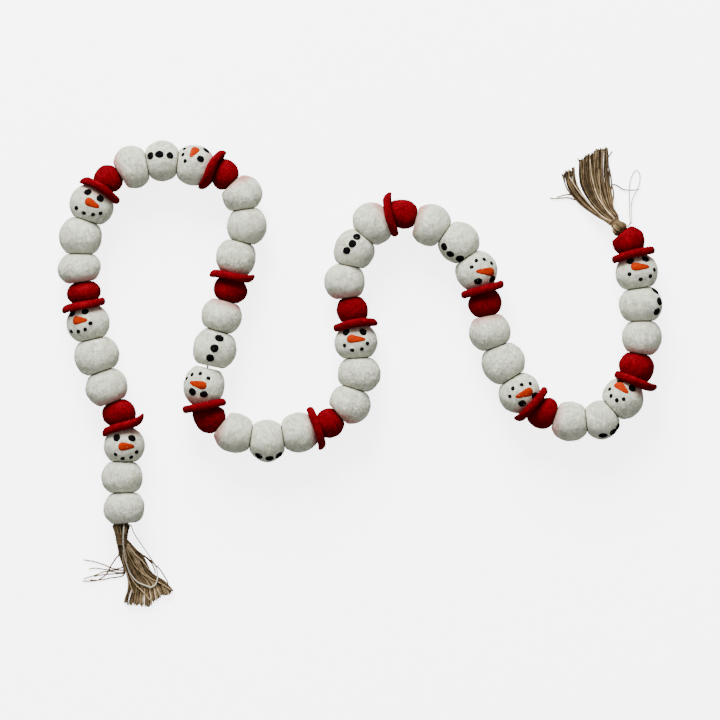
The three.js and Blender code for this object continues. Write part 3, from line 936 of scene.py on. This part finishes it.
# for each snowman, in degrees round the cord from the top and in mm along it from the middle of
# the ball: two eyes, the nose's round end and its tip, the mouth, and the buttons
awayFace = (
    [(118, 8), (160, 8)], [(127, -0.5), (162, -1)],
    [(114, -8), (132, -12.5), (152, -12), (168, -7)],
)
features = [
    ([(-17.6, 8.1), (29.8, 7.5)], [(-10.5, -0.8), (35, -1.1)],
     [(-22.2, -8.6), (-1.4, -13.2), (31.5, -12.3), (47.2, -6.9)],
     [(143, -10), (147, 0), (145, 10)]),
    ([(-53.8, 12.8), (-2.6, 12.0)], [(-42.5, 5.3), (-1, 3.4)],
     [(-59.1, -5.5), (-32.4, -6.9), (-9.8, -5.8), (7.0, -0.4)], [(214, -10), (211, 0), (213, 10)]),
    ([(-25.4, 10.2), (16.2, 9.8)], [(-17, 2), (22, 1.3)],
     [(-35.5, -9.3), (-8.9, -10.8), (17.5, -7.9), (34.8, -3.4)], [(150, -10), (148, 0), (152, 10)]),
    ([(-18.7, 5.2), (-58.6, 8.8)], [(-52, -1), (-17, -5)],
     [(-78, -9.5), (-52.3, -13.4), (-24.8, -13.2), (-3.4, -9.6)],
     [(-18.9, -11.6), (-18.7, -2.6), (-15.9, 8.2)]),
    (*awayFace, [(149, -10), (145, 0), (148, 10)]),
    ([(36.6, 9.0), (-1.6, 9.9)], [(-4, 1.3), (47, 0)],
     [(72.2, -3.6), (49.1, -8.3), (19.8, -10.5), (-8.5, -7.0)],
     [(-10.9, -11.8), (-4.4, -0.6), (-0.7, 10.0)]),
    (*awayFace, [(62, -9.1), (69, 1.8), (74, 11.5)]),
    ([(-32.8, 11.7), (25.0, 9.8)], [(-26, 5.2), (24, 1.9)],
     [(-37.3, -1.5), (-17.2, -7.2), (11.9, -7.5), (29.5, -2.7)], [(215, -10), (213, 0), (211, 10)]),
    (*awayFace, [(-8.1, 13.4), (-9.8, 5.0), (-16.3, -3.8)]),
    ([(6.7, 10.0), (-45.5, 13.4)], [(-53, 7.5), (1, 0.2)],
     [(8.3, -5.6), (-10.7, -9.9), (-36.2, -8.3), (-54.5, -2.0)],
     [(39.0, -7.7), (40.5, 2.0), (33.6, 12.0)]),
    ([(16.7, 10.2), (-34.4, 12.1)], [(-32.5, 6), (18.5, 1.3)],
     [(31.6, -3.3), (10.2, -7.8), (-16.9, -5.4), (-40.8, -0.7)], [(141, -10), (144, 0), (147, 10)]),
    ([(8.2, 13.4), (-42.7, 13.9)], [(-47, 10), (3.5, 7.2)],
     [(-49.9, 0.9), (-34.7, -4.2), (-13.4, -5.1), (1.4, -0.6)], [(58, -4.5), (68, 6.5), (80, 13)]),
    ([(-14.6, 12.6), (41.3, 11.8)], [(-12, 6.9), (38.5, 3.4)],
     [(-21.0, -0.5), (7.4, -7.8), (40.2, -6.5), (57.1, -0.7)],
     [(66.0, 12.5), (58.5, 1.6), (51.0, -8.6)]),
]
dots = {
    "eyes": (4.2, 3.9, 1.2), "mouth": (2.35, 2.3, 0.9), "buttons": (4.4, 4.1, 1.3),
    "spread": (0.92, 1.1), "sunk": -0.25, "uneven": 0.28, "steepest": 0.97, "fromPlane": 1.8,
}


def surfaceSpot(bead, degrees, along, lift=0.0):
    # a place on a ball that is off its pressed ends, and the way out of the felt there
    angle, reach = radians(degrees), bead["half"] / balls["taper"]
    swing = asin(within((along - bead["centre"]) / reach, -dots["steepest"], dots["steepest"]))
    across = bead["halfWidth"] * cos(swing) * sin(angle)
    low, high = (planeAt(bead, end, across) for end in (0, 1))
    along = within(along, low + dots["fromPlane"], high - dots["fromPlane"])
    swing = asin((along - bead["centre"]) / reach)
    if cos(angle) > 0:
        # places on the upper side are the photo's, however far the ball sits to one side
        shift, share = sideFits[bead["index"]]
        angle = asin(within((sin(angle) - shift / bead["halfWidth"]) / share, -1, 1))
    spot, clear = ballPoint(bead, angle, swing, lift)
    out = bead["across"] * cos(swing) * sin(angle) / bead["halfWidth"]
    out = out + bead["forward"] * sin(swing) / reach
    return spot, unit(out + np.array((0, 0, cos(swing) * cos(angle) / cord["height"])))


def feltDots(bead, kind, spots, seed):
    rng = random.Random(seed)
    name, size = bead["owner"] + kind.title(), dots[kind]
    points, outs = zip(*(surfaceSpot(bead, *spot, dots["sunk"]) for spot in spots))
    sizes = []
    for _ in spots:
        wide, long = (part * mm * rng.uniform(*dots["spread"]) for part in size[:2])
        sizes.append((wide, long, size[2] * mm))
    source = newPiece(name + "Spots", points, [])
    giveValues(source.data, {"outward": outs, "dotSize": sizes}, "FLOAT_VECTOR", "vector")
    values = {"Unevenness": size[0] * dots["uneven"] * mm, "Material": materials["black_felt"]}
    settle(grown(name, source, feltedDots, values), "black_felt")


noses = {
    "rings": 7, "sides": 32, "lift": 1.1, "rim": 0.1, "sunk": -0.5, "reach": 0.06, "middle": 0.32,
    "outline": [
        (0.0, 0.0), (0.03, 2.4), (0.1, 3.8), (0.22, 4.5), (0.38, 4.3), (0.55, 3.6), (0.72, 2.9),
        (0.87, 2.2), (0.96, 1.4), (1.0, 0.0),
    ],
}


def carrotNose(name, bead, ends):
    # a teardrop that lies on the ball, from its round end to its tip
    (startTurn, startAlong), (tipTurn, tipAlong) = ends
    rings, sides, reach, middle = (noses[key] for key in ("rings", "sides", "reach", "middle"))
    rim = []
    for side in range(sides):
        share = 0.5 - 0.5 * cos(2 * pi * side / sides)
        width = float(np.interp(share, *zip(*noses["outline"])))
        rim.append((share, width if side <= sides // 2 else -width))
    scale = bead["halfWidth"] * pi / 180
    run = np.array(((tipTurn - startTurn) * scale, tipAlong - startAlong))
    length = np.linalg.norm(run)
    ahead, beside = run / length, np.array((-run[1], run[0])) / length
    points = []
    for layer in (1, -1):
        for ring in range(rings):
            out = (ring + 1) / rings if layer == 1 else 1 - ring / rings
            for share, width in rim:
                spineShare = middle + (share * (1 + 2 * reach) - reach - middle) * out
                flat = ahead * spineShare * length + beside * width * out
                dome = noses["lift"] * sqrt(max(0.0, 1 - out**2)) * (1.15 - 0.5 * share)
                lift = dome - noses["rim"] if layer == 1 else noses["sunk"]
                degrees, along = startTurn + flat[0] / scale, startAlong + flat[1]
                points.append(surfaceSpot(bead, degrees, along, lift)[0])
    faces = gridFaces(2 * rings, sides, True)
    settle(turnedRight(newPiece(name, points, faces, "orange_felt")), "orange_felt")


for number, (eyes, nose, mouth, buttons) in enumerate(features):
    head = beads[number * 4 + 2]
    feltDots(head, "eyes", eyes, number + 1)
    feltDots(head, "mouth", mouth, number + 21)
    carrotNose(head["owner"] + "Nose", head, nose)
for number, (eyes, nose, mouth, buttons) in enumerate(features):
    feltDots(beads[number * 4 + 1], "buttons", buttons, number + 41)
print("faces and buttons made")


# the threading cord

threading = {
    "diameter": 1.9, "sides": 9, "lobes": 3, "turnsPerMm": 0.2, "depth": 0.16, "ringGap": 2.0,
}


def threadingCord():
    line = []
    for start, end in zip(joints[:-1], joints[1:]):
        steps = max(2, round(np.linalg.norm(end - start) / threading["ringGap"]))
        line += [start + (end - start) * step / steps for step in range(steps)]
    cottonCord("threadingCord", np.array(line + [joints[-1]]), threading, "threading_cord")


threadingCord()
print("threading cord made")


# tassels

firstTassel = {
    "top": (-242.6, -150.6, 20.5), "neck": (-242.0, -171, 16), "start": -3.0, "foldEnd": 8.0,
    "wraps": (6.8, 18.4), "wrapGap": 1.1, "shade": 0.0,
    "head": [
        (-3.2, 8.4), (0, 9.2), (1.5, 9), (4.5, 7.9), (9, 6.8), (13, 6.2), (17, 5.8), (20.8, 6.4),
    ],
    "tips": [
        (0, -239.8, -228.5), (0.1, -236, -231), (0.2, -231, -231), (0.35, -223, -232),
        (0.5, -214, -232), (0.6, -209.5, -228), (0.75, -201, -221.5), (0.9, -194.5, -221),
        (1, -190.3, -216),
    ],
    "gaps": [(0.09, 0.03), (0.2, 0.03), (0.32, 0.02), (0.57, 0.02)],
    "skirt": [  # left and right sides, lowest and highest strands
        ((-247, -167.5), (-236.2, -165), 13.5, 19.3),
        ((-245.9, -174), (-229, -173), 11.5, 18.2),
        ((-243, -185.8), (-219.3, -184), 6, 12.6),
        ((-237.9, -199.1), (-211.5, -198.6), 1.2, 6.6),
        ((-235.7, -211.8), (-198.5, -207.4), 0.6, 4.6),
    ],
    "strays": [
        [(-245, -172, 15), (-245.5, -181, 11), (-248, -183.5, 9), (-251, -188, 6),
         (-254, -192.5, 4), (-256.5, -198, 2.5), (-260, -202, 1.4), (-268, -206.5, 1),
         (-276, -207.2, 1), (-282.5, -207, 1)],
        [(-243, -184, 9), (-241, -192.5, 5.5), (-244, -194, 4.4), (-249, -194.8, 3.2),
         (-254, -193.5, 2.2), (-258, -191.5, 1.6), (-265, -189, 1.2), (-272, -187, 1),
         (-281.5, -185.5, 1)],
        [(-242, -186, 7), (-240.5, -195.5, 4), (-246, -196, 3), (-252, -196, 2.4),
         (-258, -195.5, 1.8), (-264, -194.6, 1.2), (-270, -194, 1), (-275.9, -194.9, 1)],
        [(-241.5, -187, 7), (-240.3, -197.5, 4), (-246, -198.5, 2.6), (-252, -197.5, 1.8),
         (-260, -197.5, 1.4), (-266, -199.8, 1), (-272, -202, 1), (-278, -203.8, 1),
         (-281.3, -205.3, 1)],
        [(-241, -188, 6), (-240, -198.5, 2.6), (-246, -199.5, 1.6), (-253, -200, 1),
         (-260, -200.5, 1), (-267, -201.6, 1.2), (-270.5, -202.8, 1)],
        [(-240.5, -190, 5), (-239.8, -199.8, 2.2), (-242, -202, 1.2), (-247, -203.2, 1),
         (-254, -204, 1), (-261, -205.6, 1), (-268, -206.3, 1.2), (-275, -205.8, 1)],
        [(-229, -174, 15), (-223, -179.5, 13), (-219, -181.5, 11.5), (-215, -184.5, 9.5),
         (-211, -187.8, 7.5), (-208, -191, 5.5), (-205, -193.5, 4), (-201, -199, 2.4),
         (-197.5, -204.5, 2.4), (-195, -209.5, 3)],
        [(-228, -175, 14), (-221, -180.5, 11.5), (-216, -184.5, 8), (-212, -189, 5),
         (-209.5, -194, 2.6), (-208, -199.5, 2.6)],
    ],
    "overSkirt": [
        [(-237, -170, 18.7), (-236.5, -176, 17.6), (-233, -185, 13.2), (-228, -193, 9.4),
         (-220, -200.5, 6.6), (-212, -205, 5.6), (-200, -211, 5), (-192, -216.5, 4.6)],
        [(-239.5, -172, 18.6), (-238, -180, 15.6), (-236.5, -192, 10), (-233, -203, 6.2),
         (-228, -211, 5.2), (-222, -217, 5), (-214, -226, 4.8)],
        [(-235.5, -169, 18.8), (-229, -179, 15.4), (-221, -187, 11.8), (-214, -196, 7.4)],
        [(-240.5, -174, 18), (-241, -185, 13), (-238, -196, 8.4), (-235, -207, 5.4),
         (-231, -219, 4.8)],
    ],
}
lastTassel = {
    "top": (265.2, 149.6, 20.5), "neck": (257.5, 158.8, 15.5), "start": -2.6, "foldEnd": 7.6,
    "wraps": (7.0, 10.2), "wrapGap": 1.05, "shade": 0.14,
    "head": [(-2.6, 7), (0, 8.1), (3, 8.3), (5.6, 7.2), (7.4, 5.7), (9.6, 5.4), (13, 6.6)],
    "tips": [
        (0, 206, 206), (0.06, 209, 209.5), (0.13, 213, 211), (0.2, 217, 213), (0.25, 219, 214),
        (0.32, 222.5, 220), (0.4, 226.5, 222), (0.47, 229.5, 225.4), (0.58, 235.5, 228),
        (0.68, 240, 231), (0.77, 244, 232), (0.9, 249, 232.4), (1, 251.6, 234),
    ],
    "gaps": [(0.28, 0.1), (0.19, 0.03), (0.87, 0.05)],
    "skirt": [  # left and right sides, lowest and highest strands
        ((254.5, 154.5), (263.2, 160), 12, 18.6),
        ((249.5, 158.5), (262.3, 165.5), 9.8, 16.2),
        ((239.8, 164.1), (257.3, 174), 5, 11),
        ((223.5, 176.3), (255.3, 187.5), 0.9, 5.6),
        ((209.6, 192.5), (253.7, 208.8), 0.6, 4.4),
    ],
    "strays": [
        [(259, 168, 12), (257, 176, 8), (258, 185, 4), (257.6, 191, 2), (256.4, 195.6, 1),
         (259, 196.2, 1), (262.5, 194.8, 1), (266.5, 192, 1), (270, 191, 1), (276, 190.5, 1.6),
         (284, 191.2, 2.2)],
        [(240, 166, 7), (228, 173.6, 3), (220, 180.5, 2), (216.5, 181.5, 1.2), (212, 182.8, 1),
         (205, 182.6, 1), (198, 182, 1), (193.3, 182.5, 1)],
        [(257, 178, 7), (255.4, 190, 3), (256, 196, 2), (255.5, 203, 1), (254, 211, 1),
         (252, 219, 1), (252, 222.4, 1), (254, 226.5, 1), (256.8, 230.2, 1)],
        [(236, 168, 5), (222, 180, 2.4), (214.5, 186, 1), (210, 186, 1), (205, 184.8, 1),
         (200.5, 183.5, 1)],
        [(228, 204, 3), (225.4, 214, 2), (223.5, 219.5, 1.2), (221.3, 223, 1)],
    ],
    "overSkirt": [
        [(260, 160, 18.6), (252, 168, 14.4), (246, 180, 9), (244, 195, 5.6), (243, 212, 5)],
        [(257, 158, 18), (246, 164, 13), (234, 176, 7.4), (222, 190, 5.4), (213, 204, 5)],
        [(259, 161, 18.4), (250, 171, 13), (241, 186, 7.2), (236, 204, 5.4), (234, 222, 5)],
    ],
}
strandLook = {
    "rows": 7, "columns": 32, "thick": 0.56, "thin": 0.36, "thickShare": 0.75, "taper": 0.85,
    "steps": 26, "sway": 0.014, "uneven": 0.09, "gapReach": 0.14, "lowest": 0.6,
    "stray": (0.92, 0.66), "over": (0.66, 0.56), "strayTone": (0.5, 0.8), "overTone": (0.8, 1.0),
    "looseSteps": 60, "sides": 6, "waves": ((0.4, 9), (0.3, 11), (0.35, 13)),
}
foldLook = {
    "count": 26, "insets": (0.6, 1.6), "thick": 0.62, "points": 9, "steps": 12, "pinch": 0.35,
    "twist": 0.12, "uneven": 0.15,
}
wrapLook = {
    "thick": 0.62, "steps": 18, "inset": 0.45, "swell": 0.18, "swellTurns": 0.37,
    "swellStart": 1.3, "wander": 0.22, "wanderTurns": 1.21,
}
coreLook = {
    "sides": 24, "rings": 12, "start": 1.4, "inset": 1.6, "ridges": 8, "ridge": 0.06, "tone": 0.4,
}


def headFrame(design):
    top, neck = (np.array(design[key]) for key in ("top", "neck"))
    ahead = unit(neck - top)
    side = unit(np.cross(ahead, (0, 0, 1)))
    return top, ahead, side, np.cross(side, ahead)


def headRadius(design, along):
    return float(np.interp(along, *zip(*design["head"])))


def foldedOver(design, rng):
    # strands that fold over the cord at the top of the tassel and go down under the binding
    top, ahead, side, up = headFrame(design)
    lines = []
    for layer, inset in enumerate(foldLook["insets"]):
        for index in range(foldLook["count"]):
            turn = index + 0.5 * layer + rng.uniform(-foldLook["uneven"], foldLook["uneven"])
            angle = 2 * pi * turn / foldLook["count"]
            route = []
            for share in np.linspace(0, 1, foldLook["points"]):
                along = design["start"] + (design["foldEnd"] - design["start"]) * share
                radius = headRadius(design, along) - inset
                radius *= foldLook["pinch"] + (1 - foldLook["pinch"]) * fade(share, -0.05, 0.22)
                across = spoke(side, up, angle + foldLook["twist"] * share)
                route.append(top + ahead * along + across * radius)
            line = smoothRoute(route, foldLook["steps"])
            # the tone differs at random, and the inner layer, under the outer one, is painted
            # darker as shade
            tone = rng.uniform(0.3, 1.0) - 0.3 * layer
            lines.append((line, foldLook["thick"], foldLook["thick"], tone))
    return lines


def binding(design, rng):
    # yarn wound round the neck
    top, ahead, side, up = headFrame(design)
    start, end = design["wraps"]
    steps, thick = wrapLook["steps"], wrapLook["thick"]
    total = (end - start) / design["wrapGap"] * steps
    route = []
    for step in range(int(total) + 1):
        angle = 2 * pi * step / steps
        along = start + (end - start) * step / total
        swell = wrapLook["swell"] * sin(angle * wrapLook["swellTurns"] + wrapLook["swellStart"])
        radius = headRadius(design, along) - wrapLook["inset"] + swell
        wander = wrapLook["wander"] * sin(angle * wrapLook["wanderTurns"])
        route.append(top + ahead * (along + wander) + spoke(side, up, angle) * radius)
    return [(np.array(route), thick, thick, rng.uniform(0.45, 0.6))]


def spreadPlace(design, place, progress):
    # strands part at the gaps, more and more towards their ends
    spread = place
    for centre, width in design["gaps"]:
        near = max(0.0, 1 - abs(place - centre) / strandLook["gapReach"])
        spread += copysign(width / 2, place - centre) * near * progress**2
    return spread


def skirtStrand(design, row, column, rng):
    place = (column + rng.uniform(0.1, 0.9)) / strandLook["columns"]
    level = within((row + rng.uniform(-0.1, 1.1)) / strandLook["rows"], 0, 1)
    sections = design["skirt"]
    route = []
    for index, (left, right, low, high) in enumerate(sections + sections[-1:]):
        spread = spreadPlace(design, place, index / len(sections))
        spread += rng.uniform(-1, 1) * strandLook["sway"] * (index > 1)
        flat = [np.interp(spread, (0, 1), pair) for pair in zip(left, right)]
        if index == len(sections):
            places, *tips = zip(*design["tips"])
            flat = [np.interp(spread, places, values) for values in tips]
        route.append(np.array((*flat, low + (high - low) * level)))
    reach = 1 + rng.uniform(-1, 0.8) * strandLook["uneven"]
    route[-1] = route[-2] + (route[-1] - route[-2]) * reach
    line = smoothRoute(route, strandLook["steps"])
    phase = rng.uniform(0, 6.28)
    for point, share in zip(line, np.arange(len(line)) / (len(line) - 1)):
        (wide, w), (long, v), (high, u) = strandLook["waves"]
        point[0] += wide * sin(w * share + phase) * share
        point[1] += long * cos(v * share + phase) * share
        point[2] += high * sin(u * share + 2 * phase) * share
        point[2] = max(point[2], strandLook["lowest"])
    thick = strandLook["thick" if rng.random() < strandLook["thickShare"] else "thin"]
    # tone differs at random from strand to strand, and lower strands, under the others, are painted
    # darker as shade
    light = rng.random() < 0.2 and level > 0.3
    tone = rng.uniform(0.75, 1.0) if light else 0.2 * level + rng.uniform(0, 0.6)
    return line, thick, thick * strandLook["taper"], tone - design["shade"]


def tassel(name, design, seed, node):
    rng = random.Random(seed)
    lines = foldedOver(design, rng) + binding(design, rng)
    for row in range(strandLook["rows"]):
        lines += [skirtStrand(design, row, column, rng) for column in range(strandLook["columns"])]
    for key, size in (("strays", "stray"), ("overSkirt", "over")):
        for route in design[key]:
            line, tone = smoothRoute(route, strandLook["looseSteps"]), strandLook[size + "Tone"]
            lines.append((line, *strandLook[size], rng.uniform(*tone)))
    points, edges, thick, tones = [], [], [], []
    for line, startRadius, endRadius, tone in lines:
        first, last = len(points), len(points) + len(line) - 1
        for share in np.arange(len(line)) / (len(line) - 1):
            thick.append((startRadius + (endRadius - startRadius) * share) * mm)
        points += list(line - layoutMiddle)
        tones += [tone] * len(line)
        edges += [(step, step + 1) for step in range(first, last)]
    source = newPiece(name + "Lines", points, [], None, {"thick": thick, "tone": tones}, edges)
    values = {"Sides": strandLook["sides"], "Material": materials["jute"]}
    settle(grown(name, source, strands, values), "jute", node)
    tasselCore(name + "Core", design)


def tasselCore(name, design):
    # a closed core for the strands inside the head
    top, ahead, side, up = headFrame(design)
    sides, rings = coreLook["sides"], coreLook["rings"]
    points = []
    for along in np.linspace(design["start"] + coreLook["start"], design["head"][-1][0], rings):
        for index in range(sides):
            angle = 2 * pi * index / sides
            radius = headRadius(design, along) - coreLook["inset"]
            radius *= 1 + coreLook["ridge"] * cos(angle * coreLook["ridges"])
            points.append(top + ahead * along + spoke(side, up, angle) * radius - layoutMiddle)
    tones = {"tone": [coreLook["tone"]] * len(points)}
    core = newPiece(name, points, gridFaces(rings, sides, True), "jute", tones)
    core.data.uv_layers.new(name="UVMap")
    settle(turnedRight(core), "jute")


tassel("firstTassel", firstTassel, 11, "tassel_first")
tassel("lastTassel", lastTassel, 23, "tassel_last")
print("tassels made")


# floor and light

studio = {
    "floorColour": colour(250, 250, 250), "floorGlow": 4.6, "floorReach": 14,
    "floorDrop": 0.0002, "air": 0.52,
    "keyPlace": (-1.0, 5.2, 3.1), "keySize": 3.0, "keyPower": 1350.0,
}


def layFloor():
    material, g = newMaterial("paleFloor")
    surface = g.add("ShaderNodeBsdfPrincipled", {
        "Base Color": studio["floorColour"], "Roughness": 0.9,
        "Emission Color": studio["floorColour"], "Emission Strength": studio["floorGlow"],
    })
    g.add("ShaderNodeOutputMaterial", {"Surface": surface})
    reach, height = studio["floorReach"], -studio["floorDrop"]
    corners = [(x * reach, y * reach, height) for x, y in ((-1, -1), (1, -1), (1, 1), (-1, 1))]
    mesh = bpy.data.meshes.new("floor")
    mesh.from_pydata(corners, [], [(0, 1, 2, 3)])
    mesh.materials.append(material)
    floor = newObject("floor", mesh)
    floor.visible_diffuse = False
    floor.visible_glossy = False


def hangLights():
    lamp = bpy.data.lights.new("softKey", "AREA")
    lamp.shape = "SQUARE"
    lamp.size = studio["keySize"]
    lamp.energy = studio["keyPower"]
    key = newObject("softKey", lamp)
    key.location = studio["keyPlace"]
    key.rotation_euler = Vector(studio["keyPlace"]).to_track_quat("Z", "Y").to_euler()
    world = bpy.data.worlds.new("studioAir")
    world.use_nodes = True
    g = Graph(world.node_tree)
    air = g.add("ShaderNodeBackground", {"Color": (1, 1, 1, 1), "Strength": studio["air"]})
    g.add("ShaderNodeOutputWorld", {"Surface": air})
    bpy.context.scene.world = world


layFloor()
hangLights()
print("floor and light in place")
